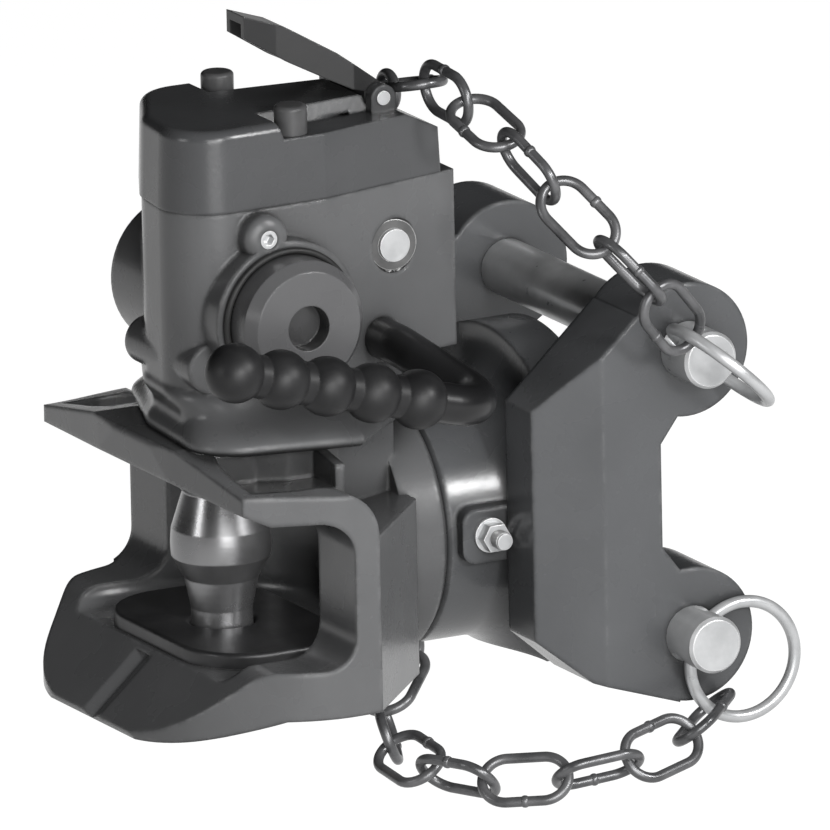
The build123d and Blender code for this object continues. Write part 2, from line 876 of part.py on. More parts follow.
with BuildPart() as release_lever:
    with BuildSketch(Plane.XZ):
        Polygon(
            (14, 250),
            (36, 236),
            (53, 227),
            (66, 220.5),
            (release_pivot_x - 6, release_pivot_z + 2.6),
            (release_pivot_x, release_pivot_z),
            (release_pivot_x + 3, release_pivot_z + 5.6),
            (59, 239),
            (35, 253.5),
            (14, 261),
            align=None,
        )
    extrude(amount=release_half_width, both=True)
    with BuildSketch(Plane.XY.offset(cap_slope_z(housing_rear_x))):
        plan_face([
            (13, release_tip_half_width),
            (30, release_tip_half_width + 2),
            (release_pivot_x - 12, release_half_width),
            (release_pivot_x + 12, release_half_width),
        ])
    extrude(amount=100, mode=Mode.INTERSECT)
    add(release_hollow.part, mode=Mode.SUBTRACT)
    with Locations((release_pivot_x, 0, release_pivot_z)):
        Cylinder(release_pin_radius + 3, 2 * release_half_width, rotation=(90, 0, 0))
        Cylinder(release_pin_radius + running_gap, 100, rotation=(90, 0, 0), mode=Mode.SUBTRACT)
save(release_lever, "release_lever")

with BuildPart() as release_pin:
    with Locations((release_pivot_x, 0, release_pivot_z)):
        Cylinder(
            release_pin_radius,
            2 * (release_half_width + release_ear + 1.5),
            rotation=(90, 0, 0),
        )
save(release_pin, "release_pin")

# Bearing bracket: hub, block and two cheeks with their lugs
with BuildPart() as bearing_bracket:
    with BuildSketch(Plane.XZ):
        with BuildLine():
            Polyline(
                (hub_front_x, 0),
                (hub_front_x, hub_radius - 2),
                (hub_front_x + 2, hub_radius),
                (hub_cone_x, hub_radius),
            )
            ThreePointArc(
                (hub_cone_x, hub_radius),
                (hub_cone_x + 15, hub_radius + 6),
                (block_front_x, hub_flare_radius),
            )
            Polyline(
                (block_front_x, hub_flare_radius),
                (block_rear_x, hub_flare_radius),
                (block_rear_x, 0),
                (hub_front_x, 0),
            )
        make_face()
    revolve(axis=Axis.X)
    with Locations((block_rear_x, 0, block_bottom_z)):
        Box(
            2 * (block_rear_x - hub_cone_x),
            300,
            60,
            align=(Align.CENTER, Align.CENTER, Align.MAX),
            mode=Mode.SUBTRACT,
        )
    for side in (-1, 1):
        with BuildSketch(Plane.XZ.offset(-side * cheek_inner_y)) as cheek_side:
            with BuildLine():
                Polyline(
                    (cheek_front_x, cheek_front_bottom_z),
                    (cheek_front_x, cheek_front_top_z),
                    (cross_pin_x - 27, upper_pin_z + 20),
                    (cross_pin_x, upper_pin_z),
                    (cross_pin_x, upper_pin_z - lug_radius + 8),
                    (cheek_rear_x, upper_pin_z - lug_radius - 12),
                    (cheek_rear_x, lower_pin_z + lug_radius + 12),
                    (cross_pin_x, lower_pin_z + lug_radius - 8),
                    (cross_pin_x, lower_pin_z),
                    (cross_pin_x - 7, lower_pin_z - lug_radius),
                    (cheek_bend_x - 6, lower_pin_z - 18),
                    close=True,
                )
            make_face()
            with Locations((cross_pin_x, upper_pin_z), (cross_pin_x, lower_pin_z)):
                Circle(lug_radius)
        extrude(amount=-side * cheek_thickness)
        with BuildSketch(Plane.XY.offset(-150)):
            with BuildLine():
                Polyline(
                    (cheek_front_x - 1, side * (cheek_outer_y - cheek_bend_offset)),
                    (cheek_bend_x, side * cheek_outer_y),
                    (cheek_bend_x, side * (cheek_outer_y + 5)),
                    (cheek_front_x - 1, side * (cheek_outer_y + 5)),
                    close=True,
                )
            make_face()
        extrude(amount=300, mode=Mode.SUBTRACT)
    for pin_z in (upper_pin_z, lower_pin_z):
        with Locations((cross_pin_x, 0, pin_z)):
            Cylinder(cross_pin_radius + running_gap, 300, rotation=(90, 0, 0), mode=Mode.SUBTRACT)
    with BuildSketch(Plane.XZ.offset(40)):
        with Locations((brake_x, brake_z)):
            RectangleRounded(brake_pad_length, brake_pad_height, 7)
    extrude(amount=brake_pad_y - 40)
    with Locations(((hub_front_x + block_rear_x) / 2, 0, 0)):
        Cylinder(
            bush_outer_radius,
            block_rear_x - hub_front_x,
            rotation=(0, 90, 0),
            mode=Mode.SUBTRACT,
        )
    with Locations((brake_stud_x, -brake_pad_y / 2, brake_z)):
        Cylinder(brake_stud_radius + 0.2, brake_pad_y, rotation=(90, 0, 0), mode=Mode.SUBTRACT)
    with Locations((brake_stud_x, -shank_radius, brake_z)):
        Cylinder(
            brake_shoe_radius + 0.2,
            2 * brake_shoe_length + 1,
            rotation=(90, 0, 0),
            mode=Mode.SUBTRACT,
        )
save(bearing_bracket, "bearing_bracket")

# Bushes in the hub
for place, start_x in (("front", hub_front_x), ("rear", block_rear_x - hub_bush_length)):
    with BuildPart() as hub_bush:
        with Locations((start_x + hub_bush_length / 2, 0, 0)):
            Cylinder(bush_outer_radius, hub_bush_length, rotation=(0, 90, 0))
            Cylinder(
                shank_radius + running_gap,
                hub_bush_length,
                rotation=(0, 90, 0),
                mode=Mode.SUBTRACT,
            )
    save(hub_bush, f"{place}_hub_bush")

# Tail washer, castle nut and cotter pin
with BuildPart() as tail_washer:
    with Locations((tail_washer_x + tail_washer_thickness / 2, 0, 0)):
        Cylinder(tail_washer_radius, tail_washer_thickness, rotation=(0, 90, 0))
        Cylinder(thread_radius, tail_washer_thickness, rotation=(0, 90, 0), mode=Mode.SUBTRACT)
save(tail_washer, "tail_washer")

with BuildPart() as castle_nut:
    with BuildSketch(Plane.YZ.offset(nut_x)):
        RegularPolygon(nut_flats / 2, 6, major_radius=False)
        Circle(thread_radius, mode=Mode.SUBTRACT)
    extrude(amount=nut_height - 9)
    with BuildSketch(Plane.YZ.offset(nut_x)):
        Circle(nut_flats / 2 - 2)
        Circle(thread_radius, mode=Mode.SUBTRACT)
    extrude(amount=nut_height)
    for slot in range(3):
        with Locations(Location((nut_x + nut_height, 0, 0), (60 * slot, 0, 0))):
            Box(18, 2 * cotter_radius + 1.5, 4 * nut_flats, mode=Mode.SUBTRACT)
save(castle_nut, "castle_nut")

with BuildPart() as cotter_pin:
    with Locations((shank_cotter_x, 0, 0)):
        Cylinder(cotter_radius, nut_flats + 2)
    with Locations((shank_cotter_x, 0, nut_flats / 2 + 1)):
        Sphere(cotter_radius + 0.4)
save(cotter_pin, "cotter_pin")

# Cross pins with a flared cross hole for the pull ring, and the rings through them
ring_tube = ring_wire / 2 + ring_hole_gap
for place, pin_z, turn, ring_side in (
    ("upper", upper_pin_z, upper_ring_turn, (0, -1, 0)),
    ("lower", lower_pin_z, lower_ring_turn, None),
):
    hole_line = (sin(radians(turn)), 0, cos(radians(turn)))
    hole_frame = Plane(
        origin=(cross_pin_x, -ring_hole_y, pin_z),
        x_dir=ring_side or (hole_line[2], 0, -hole_line[0]),
        z_dir=hole_line,
    )
    with BuildPart() as cross_pin:
        with Locations((cross_pin_x, (cross_pin_far - cross_pin_near) / 2, pin_z)):
            Cylinder(cross_pin_radius, cross_pin_near + cross_pin_far, rotation=(90, 0, 0))
        chamfer(cross_pin.edges().filter_by(GeomType.CIRCLE), 1.5)
        with BuildSketch(Plane(hole_frame.origin, x_dir=hole_frame.x_dir, z_dir=-hole_frame.y_dir)):
            with Locations((ring_mean_radius / 2, 0)):
                Rectangle(ring_mean_radius, 2 * cross_pin_radius + 1)
            with Locations((ring_mean_radius, 0)):
                Circle(ring_mean_radius - ring_tube, mode=Mode.SUBTRACT)
        revolve(axis=Axis(hole_frame.origin, hole_frame.z_dir), mode=Mode.SUBTRACT)
    save(cross_pin, f"{place}_cross_pin")
    with BuildPart() as pull_ring:
        ring_centre = hole_frame.from_local_coords((ring_mean_radius, 0, 0))
        with Locations(Plane(ring_centre, x_dir=hole_frame.x_dir, z_dir=-hole_frame.y_dir)):
            Torus(ring_mean_radius, ring_wire / 2)
    save(pull_ring, f"{place}_pull_ring")

# Swivel brake: stud, washer, nut and the shoe that bears on the shank
with BuildPart() as brake_stud:
    with BuildSketch(Plane.XZ.offset(shank_radius + brake_shoe_length)):
        with Locations((brake_stud_x, brake_z)):
            Circle(brake_stud_radius)
    extrude(amount=brake_stud_end - shank_radius - brake_shoe_length)
save(brake_stud, "brake_stud")

with BuildPart() as brake_washer:
    with Locations((brake_stud_x, -brake_pad_y - brake_washer_thickness / 2, brake_z)):
        Cylinder(brake_washer_radius, brake_washer_thickness, rotation=(90, 0, 0))
        Cylinder(brake_stud_radius, 4, rotation=(90, 0, 0), mode=Mode.SUBTRACT)
save(brake_washer, "brake_washer")

with BuildPart() as brake_nut:
    with BuildSketch(Plane.XZ.offset(brake_pad_y + brake_washer_thickness)):
        with Locations((brake_stud_x, brake_z)):
            RegularPolygon(brake_nut_flats / 2, 6, major_radius=False)
            Circle(brake_stud_radius, mode=Mode.SUBTRACT)
    extrude(amount=brake_nut_height)
save(brake_nut, "brake_nut")

with BuildPart() as brake_shoe:
    with BuildSketch(Plane.XZ.offset(shank_radius - 2)):
        with Locations((brake_stud_x, brake_z)):
            Circle(brake_shoe_radius)
    extrude(amount=brake_shoe_length + 2)
    with Locations((brake_stud_x, 0, 0)):
        Cylinder(shank_radius + seat_gap, 60, rotation=(0, 90, 0), mode=Mode.SUBTRACT)
save(brake_shoe, "brake_shoe")


# Chain: joints are stepped off along a hanging line, and each link turns a quarter
def step_joints(line, count):
    """Walk along a line in equal chords; give the joints and the place reached."""
    joints = [line.position_at(0)]
    place = 0.0
    for _ in range(count):
        low, high = place, place + 2.5 / count
        for _ in range(24):
            middle = (low + high) / 2
            if (line_point(line, middle) - joints[-1]).length < link_pitch:
                low = middle
            else:
                high = middle
        place = low
        joints.append(line_point(line, place))
    return joints, place


def line_point(line, place):
    """A point on the line, carried straight on past its end."""
    if place <= 1:
        return line.position_at(place)
    return line.position_at(1) + (line % 1) * (place - 1) * line.length


def hang_chain(start, knees, end, count):
    """Find how far the line bows between its ends so that the links fill it."""
    low, high = 0.2, 3.0
    for _ in range(24):
        bow = (low + high) / 2
        points = [Vector(start)]
        for number, knee in enumerate(knees):
            chord = Vector(start) + (Vector(end) - Vector(start)) * (number + 1) / (len(knees) + 1)
            points.append(chord + (Vector(knee) - chord) * bow)
        points.append(Vector(end))
        joints, place = step_joints(Spline(*points), count)
        if place > 1:
            low = bow
        else:
            high = bow
    return joints


def save_links(joints, first_normal, last_normal, place):
    """Write the link once per pair of joints: quarter turns, with the odd twist shared out."""
    headings = [(front - back).normalized() for back, front in zip(joints, joints[1:])]
    normals = []
    normal = Vector(first_normal)
    for heading in headings:
        normal = (normal - heading * normal.dot(heading)).normalized()
        normals.append(normal)
        normal = heading.cross(normal)
    heading = headings[-1]
    target = Vector(last_normal) - heading * Vector(last_normal).dot(heading)
    twist = degrees(atan2(heading.dot(normals[-1].cross(target)), normals[-1].dot(target)))
    twist = (twist + 90) % 180 - 90
    for number, heading in enumerate(headings):
        turn = Axis((0, 0, 0), heading)
        normal = normals[number].rotate(turn, twist * number / (len(headings) - 1))
        middle = (joints[number] + joints[number + 1]) / 2
        link = Plane(middle, x_dir=heading, z_dir=normal).location * chain_link.part
        link.label = f"{place}_link_{number + 1}"
        export_step(link, f"parts/{place}_link_{number + 1}.step")


with BuildPart() as chain_link:
    link_straight = (link_pitch + link_slack + chain_wire - (link_width - chain_wire)) / 2
    bend_radius = (link_width - chain_wire) / 2
    with BuildLine():
        Line((-link_straight, bend_radius), (link_straight, bend_radius))
        ThreePointArc(
            (link_straight, bend_radius),
            (link_straight + bend_radius, 0),
            (link_straight, -bend_radius),
        )
        Line((link_straight, -bend_radius), (-link_straight, -bend_radius))
        ThreePointArc(
            (-link_straight, -bend_radius),
            (-link_straight - bend_radius, 0),
            (-link_straight, bend_radius),
        )
    with BuildSketch(Plane((0, bend_radius, 0), x_dir=(0, 1, 0), z_dir=(1, 0, 0))):
        Circle(chain_wire / 2)
    sweep()

eye_reach = eye_radius - chain_wire / 2 - 1.2 * link_slack
ring_reach = ring_mean_radius - ring_wire / 2 - 3 * link_slack
upper_eye = Vector(upper_eye_x, upper_eye_y, upper_eye_z)
lower_eye = Vector(lower_eye_x, 0, -hub_radius - eye_radius + 2)
upper_leave = Vector(0, -0.7, 0.71)
lower_leave = Vector(-0.6, -0.38, -0.7)
upper_arrive = Vector(-0.73, 0, 0.675)
lower_arrive = Vector(-0.6, 0, -0.8)
upper_ring_centre = Vector(cross_pin_x, -ring_hole_y - ring_mean_radius, upper_pin_z)
lower_ring_centre = Vector(
    cross_pin_x + ring_mean_radius * cos(radians(lower_ring_turn)),
    -ring_hole_y,
    lower_pin_z - ring_mean_radius * sin(radians(lower_ring_turn)),
)

with BuildPart() as upper_chain_eye:
    with Locations(Plane(upper_eye, z_dir=(1, 0, 0))):
        Torus(eye_radius, chain_wire / 2)
    add(cap.part, mode=Mode.SUBTRACT)
save(upper_chain_eye, "upper_chain_eye")

with BuildPart() as lower_chain_eye:
    with Locations(Plane(lower_eye, z_dir=(-0.53, 0.85, 0))):
        Torus(eye_radius, chain_wire / 2)
    with Locations((lower_eye_x, 0, -hub_radius - seat_gap)):
        Box(
            4 * eye_radius,
            4 * eye_radius,
            4 * eye_radius,
            align=(Align.CENTER, Align.CENTER, Align.MIN),
            mode=Mode.SUBTRACT,
        )
save(lower_chain_eye, "lower_chain_eye")

save_links(
    hang_chain(
        upper_eye + upper_leave * eye_reach,
        [(103, -66, 219), (118, -135, 184), (155, -160, 136)],
        upper_ring_centre + upper_arrive * ring_reach,
        7,
    ),
    (0, 0, 1),
    (0, 1, 0),
    "upper",
)
save_links(
    hang_chain(
        lower_eye + lower_leave * eye_reach,
        [(64, -52, -97), (79, -119, -101), (140, -147, -95)],
        lower_ring_centre + lower_arrive * ring_reach,
        8,
    ),
    lower_leave.cross(Vector(-0.53, 0.85, 0)),
    (0.8, 0, -0.6),
    "lower",
)
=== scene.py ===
import json
import math

import bpy
import numpy as np
from mathutils import Matrix, Vector


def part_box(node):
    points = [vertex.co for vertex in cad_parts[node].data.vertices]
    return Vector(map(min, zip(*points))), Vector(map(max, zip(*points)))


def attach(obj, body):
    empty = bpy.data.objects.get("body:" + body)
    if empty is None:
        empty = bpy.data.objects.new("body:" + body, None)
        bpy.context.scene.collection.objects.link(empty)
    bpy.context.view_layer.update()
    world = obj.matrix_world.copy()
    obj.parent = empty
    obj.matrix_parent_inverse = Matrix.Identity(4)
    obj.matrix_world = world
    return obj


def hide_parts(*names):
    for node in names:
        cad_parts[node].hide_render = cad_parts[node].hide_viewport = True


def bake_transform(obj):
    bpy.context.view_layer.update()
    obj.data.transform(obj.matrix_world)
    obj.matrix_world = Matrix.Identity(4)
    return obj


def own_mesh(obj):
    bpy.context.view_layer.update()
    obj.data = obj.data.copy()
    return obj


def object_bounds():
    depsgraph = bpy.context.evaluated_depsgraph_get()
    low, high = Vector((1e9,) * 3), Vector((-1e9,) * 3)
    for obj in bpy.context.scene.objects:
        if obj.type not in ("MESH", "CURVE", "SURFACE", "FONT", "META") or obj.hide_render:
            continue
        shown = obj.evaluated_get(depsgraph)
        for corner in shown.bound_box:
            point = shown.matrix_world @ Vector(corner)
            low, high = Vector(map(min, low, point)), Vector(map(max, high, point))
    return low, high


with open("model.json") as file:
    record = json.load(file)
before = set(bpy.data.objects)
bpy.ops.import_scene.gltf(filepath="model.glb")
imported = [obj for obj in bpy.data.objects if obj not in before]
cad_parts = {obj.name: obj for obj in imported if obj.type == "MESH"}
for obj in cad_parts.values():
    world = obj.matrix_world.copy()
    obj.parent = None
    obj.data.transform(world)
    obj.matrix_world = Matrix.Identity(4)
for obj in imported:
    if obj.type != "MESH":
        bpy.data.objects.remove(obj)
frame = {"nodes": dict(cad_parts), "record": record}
cadBox = [list(corner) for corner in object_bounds()]

print("stage: materials")


# Empty node material with its output, shader and object coordinates
def newMaterial(name):
    material = bpy.data.materials.new(name)
    material.use_nodes = True
    nodes = material.node_tree.nodes
    nodes.clear()
    output = nodes.new("ShaderNodeOutputMaterial")
    shader = nodes.new("ShaderNodeBsdfPrincipled")
    place = nodes.new("ShaderNodeTexCoord")
    material.node_tree.links.new(shader.outputs["BSDF"], output.inputs["Surface"])
    return material, nodes, material.node_tree.links, shader, place.outputs["Object"]


# Noise texture on object coordinates, stretched along an axis if asked
def noise(nodes, links, place, scale, detail, roughness=0.55, stretch=None):
    texture = nodes.new("ShaderNodeTexNoise")
    texture.inputs["Scale"].default_value = scale
    texture.inputs["Detail"].default_value = detail
    texture.inputs["Roughness"].default_value = roughness
    if stretch:
        mapping = nodes.new("ShaderNodeMapping")
        mapping.inputs["Scale"].default_value = stretch
        links.new(place, mapping.inputs["Vector"])
        place = mapping.outputs["Vector"]
    links.new(place, texture.inputs["Vector"])
    return texture.outputs["Fac"]


# Map a value through a two-stop ramp of grey levels
def ramp(nodes, links, value, low, high, start=0.0, end=1.0):
    node = nodes.new("ShaderNodeMapRange")
    node.inputs["From Min"].default_value = low
    node.inputs["From Max"].default_value = high
    node.inputs["To Min"].default_value = start
    node.inputs["To Max"].default_value = end
    links.new(value, node.inputs["Value"])
    return node.outputs["Result"]


# Mix two colours, each a tuple or a socket
def mixColour(nodes, links, factor, first, second):
    node = nodes.new("ShaderNodeMix")
    node.data_type = "RGBA"
    for socket, colour in ((node.inputs[6], first), (node.inputs[7], second)):
        if isinstance(colour, tuple):
            socket.default_value = (*colour, 1)
        else:
            links.new(colour, socket)
    links.new(factor, node.inputs[0])
    return node.outputs[2]


# Rounded-edge normal, and a mask that is one where an edge is rounded
def edgeMask(nodes, links, radius, low, high):
    bevel = nodes.new("ShaderNodeBevel")
    bevel.samples = 4
    bevel.inputs["Radius"].default_value = radius
    geometry = nodes.new("ShaderNodeNewGeometry")
    dot = nodes.new("ShaderNodeVectorMath")
    dot.operation = "DOT_PRODUCT"
    links.new(bevel.outputs["Normal"], dot.inputs[0])
    links.new(geometry.outputs["Normal"], dot.inputs[1])
    return bevel.outputs["Normal"], ramp(nodes, links, dot.outputs["Value"], high, low)


# Bump on top of a normal
def bump(nodes, links, normal, height, strength, distance):
    node = nodes.new("ShaderNodeBump")
    node.inputs["Strength"].default_value = strength
    node.inputs["Distance"].default_value = distance
    links.new(height, node.inputs["Height"])
    if normal is not None:
        links.new(normal, node.inputs["Normal"])
    return node.outputs["Normal"]


# Painted shade: darken a colour in crevices and recesses by ambient occlusion, where shade falls
def grime(nodes, links, colour, values):
    hollow = nodes.new("ShaderNodeAmbientOcclusion")
    hollow.samples = 6
    hollow.inputs["Distance"].default_value = values["hollow"]
    mask = ramp(nodes, links, hollow.outputs["AO"], 0.3, 0.95, values["grime"], 0)
    return mixColour(nodes, links, mask, colour, values["dirt"])


# Paint over a casting: soft edges, sand texture, faint mottling, rubbed edges and painted shade in
# crevices
def paintedCasting(name, values):
    material, nodes, links, shader, place = newMaterial(name)
    base = values["colour"]
    normal, mask = edgeMask(nodes, links, values["edge"], 0.90, 0.995)
    mottle = ramp(nodes, links, noise(nodes, links, place, values["mottleScale"], 4), 0.3, 0.7)
    dark = tuple(part * (1 - values["mottle"]) for part in base)
    light = tuple(min(1, part * (1 + values["mottle"])) for part in base)
    colour = mixColour(nodes, links, mottle, dark, light)
    patches = noise(nodes, links, place, values["patchScale"], 6, 0.7)
    wear = nodes.new("ShaderNodeMath")
    wear.operation = "MULTIPLY"
    links.new(mask, wear.inputs[0])
    links.new(ramp(nodes, links, patches, 0.45, 0.75, 0, values["wear"]), wear.inputs[1])
    colour = mixColour(nodes, links, wear.outputs["Value"], colour, values["worn"])
    # Painted shade: crevices and recesses get a darker colour
    colour = grime(nodes, links, colour, values)
    links.new(colour, shader.inputs["Base Color"])
    sand = noise(nodes, links, place, values["sandScale"], 5, 0.6)
    normal = bump(nodes, links, normal, sand, values["sand"], 0.0006)
    peel = noise(nodes, links, place, values["peelScale"], 2, 0.4)
    normal = bump(nodes, links, normal, peel, values["peel"], 0.0002)
    links.new(normal, shader.inputs["Normal"])
    roughness = ramp(nodes, links, mottle, 0, 1, values["rough"] - 0.05, values["rough"] + 0.06)
    links.new(roughness, shader.inputs["Roughness"])
    shader.inputs["Specular IOR Level"].default_value = values["specular"]
    shader.inputs["Coat Weight"].default_value = values["coat"]
    shader.inputs["Coat Roughness"].default_value = values["coatRough"]
    links.new(normal, shader.inputs["Coat Normal"])
    return material


# Bare, plated or burnished steel with fine tool marks and dull patches
def steel(name, values):
    material, nodes, links, shader, place = newMaterial(name)
    normal, mask = edgeMask(nodes, links, values["edge"], 0.90, 0.995)
    cloud = ramp(nodes, links, noise(nodes, links, place, values["cloudScale"], 5), 0.3, 0.7)
    colour = mixColour(nodes, links, cloud, values["dark"], values["light"])
    colour = mixColour(nodes, links, mask, colour, values["worn"])
    links.new(colour, shader.inputs["Base Color"])
    grain = noise(nodes, links, place, values["grainScale"], 3, 0.5, values["stretch"])
    normal = bump(nodes, links, normal, grain, values["grain"], 0.0002)
    links.new(normal, shader.inputs["Normal"])
    roughness = ramp(nodes, links, cloud, 0, 1, values["rough"] - 0.07, values["rough"] + 0.08)
    links.new(roughness, shader.inputs["Roughness"])
    shader.inputs["Metallic"].default_value = values["metal"]
    return material


# Rubber or plastic with a fine moulded grain
def moulded(name, values):
    material, nodes, links, shader, place = newMaterial(name)
    normal, mask = edgeMask(nodes, links, values["edge"], 0.90, 0.995)
    cloud = ramp(nodes, links, noise(nodes, links, place, 60, 4), 0.35, 0.65)
    colour = mixColour(nodes, links, cloud, values["dark"], values["light"])
    links.new(colour, shader.inputs["Base Color"])
    grain = noise(nodes, links, place, values["grainScale"], 3)
    links.new(bump(nodes, links, normal, grain, values["grain"], 0.0003), shader.inputs["Normal"])
    links.new(ramp(nodes, links, cloud, 0, 1, values["rough"], values["rough"] + 0.1),
              shader.inputs["Roughness"])
    shader.inputs["Specular IOR Level"].default_value = values["specular"]
    return material


bodyPaint = {
    "colour": (0.088, 0.089, 0.091), "worn": (0.27, 0.27, 0.27), "mottle": 0.07, "mottleScale": 22,
    "sandScale": 330, "sand": 0.09, "wear": 0.55, "edge": 0.0036, "rough": 0.27, "coat": 0.12,
    # Reach, strength and colour of the painted shade in crevices and recesses
    "hollow": 0.045, "grime": 0.9, "dirt": (0.012, 0.012, 0.012), "patchScale": 90,
    "peelScale": 420, "peel": 0.07, "specular": 0.26, "coatRough": 0.16,
}
capPaint = dict(bodyPaint, colour=(0.052, 0.053, 0.055), worn=(0.2, 0.2, 0.2), sand=0.08, edge=0.002)
bracketPaint = dict(bodyPaint, colour=(0.07, 0.072, 0.075), worn=(0.24, 0.24, 0.24), edge=0.0035)
plugPaint = dict(bodyPaint, colour=(0.08, 0.08, 0.082), sand=0.06, edge=0.0012, rough=0.3)
leverPaint = dict(
    bodyPaint, colour=(0.009, 0.009, 0.0095), worn=(0.09, 0.09, 0.09), sand=0.06, rough=0.34,
    edge=0.0008,
)
plateSteel = {
    "dark": (0.022, 0.022, 0.023), "light": (0.038, 0.038, 0.039), "worn": (0.22, 0.22, 0.22),
    "edge": 0.0012, "cloudScale": 30, "grainScale": 500, "stretch": (1, 0.08, 1), "grain": 0.2,
    "rough": 0.4, "metal": 0.5,
}
pinSteel = dict(
    plateSteel, dark=(0.16, 0.16, 0.163), light=(0.23, 0.23, 0.233), worn=(0.35, 0.35, 0.35),
    stretch=(0.1, 0.1, 1), metal=0.8, rough=0.3,
)
zincSteel = dict(
    plateSteel, dark=(0.34, 0.345, 0.35), light=(0.46, 0.465, 0.47), worn=(0.8, 0.8, 0.8), rough=0.34,
    metal=0.45, edge=0.0007, cloudScale=70, stretch=(1, 1, 1), grain=0.08,
)
chainSteel = dict(
    zincSteel, dark=(0.055, 0.056, 0.058), light=(0.13, 0.13, 0.134), worn=(0.4, 0.4, 0.4),
    rough=0.32,
)
springSteel = dict(zincSteel, dark=(0.06, 0.06, 0.06), light=(0.12, 0.12, 0.12), rough=0.35)
bronze = dict(zincSteel, dark=(0.38, 0.25, 0.1), light=(0.52, 0.36, 0.16), worn=(0.7, 0.52, 0.3))
gripRubber = {
    "dark": (0.009, 0.009, 0.0095), "light": (0.015, 0.015, 0.0155), "edge": 0.0012,
    "grainScale": 1100, "grain": 0.14, "rough": 0.4, "specular": 0.22,
}
sealRubber = dict(gripRubber, dark=(0.012, 0.012, 0.012), light=(0.02, 0.02, 0.02))
buttonPlastic = dict(gripRubber, dark=(0.045, 0.045, 0.046), light=(0.065, 0.065, 0.066), rough=0.3)

looks = {
    "painted_casting": paintedCasting("bodyPaint", bodyPaint),
    "painted_cap": paintedCasting("capPaint", capPaint),
    "painted_bracket": paintedCasting("bracketPaint", bracketPaint),
    "painted_plug": paintedCasting("plugPaint", plugPaint),
    "painted_lever": paintedCasting("leverPaint", leverPaint),
    "wear_plate": steel("plateSteel", plateSteel),
    "hardened_pin": steel("pinSteel", pinSteel),
    "bush": steel("bronze", bronze),
    "zinc_steel": steel("zincSteel", zincSteel),
    "chain_steel": steel("chainSteel", chainSteel),
    "spring_steel": steel("springSteel", springSteel),
    "grip": moulded("gripRubber", gripRubber),
    "seal": moulded("sealRubber", sealRubber),
    "indicator": moulded("buttonPlastic", buttonPlastic),
}
slotOf = {entry["node"]: entry["material_slot"] for entry in frame["record"]["subparts"]}
for name, piece in frame["nodes"].items():
    piece.data.materials.clear()
    piece.data.materials.append(looks[slotOf[name]])

print("stage: threads and circlip ears")


# Start a new piece with nothing else selected
def clearSelection():
    if bpy.context.object and bpy.context.object.mode != "OBJECT":
        bpy.ops.object.mode_set(mode="OBJECT")
    bpy.ops.object.select_all(action="DESELECT")


# Finish a piece: place it, bake the turn and place in, name it, give it a look and attach it
# to its body; a piece given two bodies and the points between them is attached to neither
def finishPiece(piece, name, look, body, matrix):
    piece.name = name
    piece.matrix_world = matrix
    clearSelection()
    piece.select_set(True)
    bpy.context.view_layer.objects.active = piece
    bpy.ops.object.transform_apply(location=True, rotation=True, scale=True)
    bpy.ops.object.shade_smooth()
    piece.data.materials.clear()
    piece.data.materials.append(looks[look])
    if isinstance(body, tuple):
        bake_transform(piece)
    else:
        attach(piece, body)


# Screw thread about a line: a three-cornered ridge carried round by the Screw modifier
def addThread(name, look, body, start, direction, values):
    clearSelection()
    bpy.ops.mesh.primitive_circle_add(
        vertices=3, radius=values["pitch"] * values["ridge"], fill_type="NOTHING",
    )
    piece = bpy.context.object
    bpy.ops.object.mode_set(mode="EDIT")
    bpy.ops.mesh.select_all(action="SELECT")
    bpy.ops.transform.rotate(value=math.pi / 2, orient_axis="Z", center_override=(0, 0, 0))
    bpy.ops.transform.rotate(value=math.pi / 2, orient_axis="X", center_override=(0, 0, 0))
    bpy.ops.transform.translate(value=(values["radius"], 0, 0))
    bpy.ops.object.mode_set(mode="OBJECT")
    screw = piece.modifiers.new("turns", "SCREW")
    screw.axis = "Z"
    screw.screw_offset = values["pitch"]
    screw.iterations = values["turns"]
    screw.steps = 40
    screw.render_steps = 40
    screw.use_merge_vertices = True
    screw.merge_threshold = 0.00001
    bpy.ops.object.modifier_apply(modifier="turns")
    turn = Vector(direction).to_track_quat("Z", "Y").to_matrix().to_4x4()
    finishPiece(piece, name, look, body, Matrix.Translation(start) @ turn)


studValues = {"radius": 0.0039, "pitch": 0.00125, "ridge": 0.56, "turns": 5, "back": 0.0071}
studLow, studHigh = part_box("brake_stud")
studMiddle = [(low + high) / 2 for low, high in zip(studLow, studHigh)]
addThread(
    "stud_thread", "zinc_steel", "bracket",
    (studMiddle[0], studLow[1] + studValues["back"], studMiddle[2]), (0, -1, 0), studValues,
)
tailValues = {"radius": 0.0178, "pitch": 0.0025, "ridge": 0.56, "turns": 1, "clear": 0.0008}
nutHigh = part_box("castle_nut")[1]
addThread(
    "shank_thread", "painted_casting", "head",
    (nutHigh[0] + tailValues["clear"], 0, 0), (1, 0, 0), tailValues,
)


# Small ring, such as the eye of a circlip
def addRing(name, look, body, centre, direction, radius, wire):
    clearSelection()
    bpy.ops.mesh.primitive_torus_add(
        major_radius=radius, minor_radius=wire, major_segments=28, minor_segments=12,
    )
    turn = Vector(direction).to_track_quat("Z", "Y").to_matrix().to_4x4()
    finishPiece(bpy.context.object, name, look, body, Matrix.Translation(centre) @ turn)


earValues = {"gap": 0.0024, "drop": 0.0118, "inset": 0.0007, "radius": 0.0013, "wire": 0.0006}
clipLow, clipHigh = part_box("latch_circlips")
clipMiddle = [(low + high) / 2 for low, high in zip(clipLow, clipHigh)]
clipPlanes = (("near", clipLow[1] + earValues["inset"]), ("far", clipHigh[1] - earValues["inset"]))
for place, planeY in clipPlanes:
    for number, side in ((1, -1), (2, 1)):
        addRing(
            f"{place}_circlip_ear_{number}", "spring_steel", "head",
            (clipMiddle[0] + side * earValues["gap"], planeY, clipMiddle[2] - earValues["drop"]),
            (0, 1, 0), earValues["radius"], earValues["wire"],
        )

print("stage: spring, upper chain and weld swells")


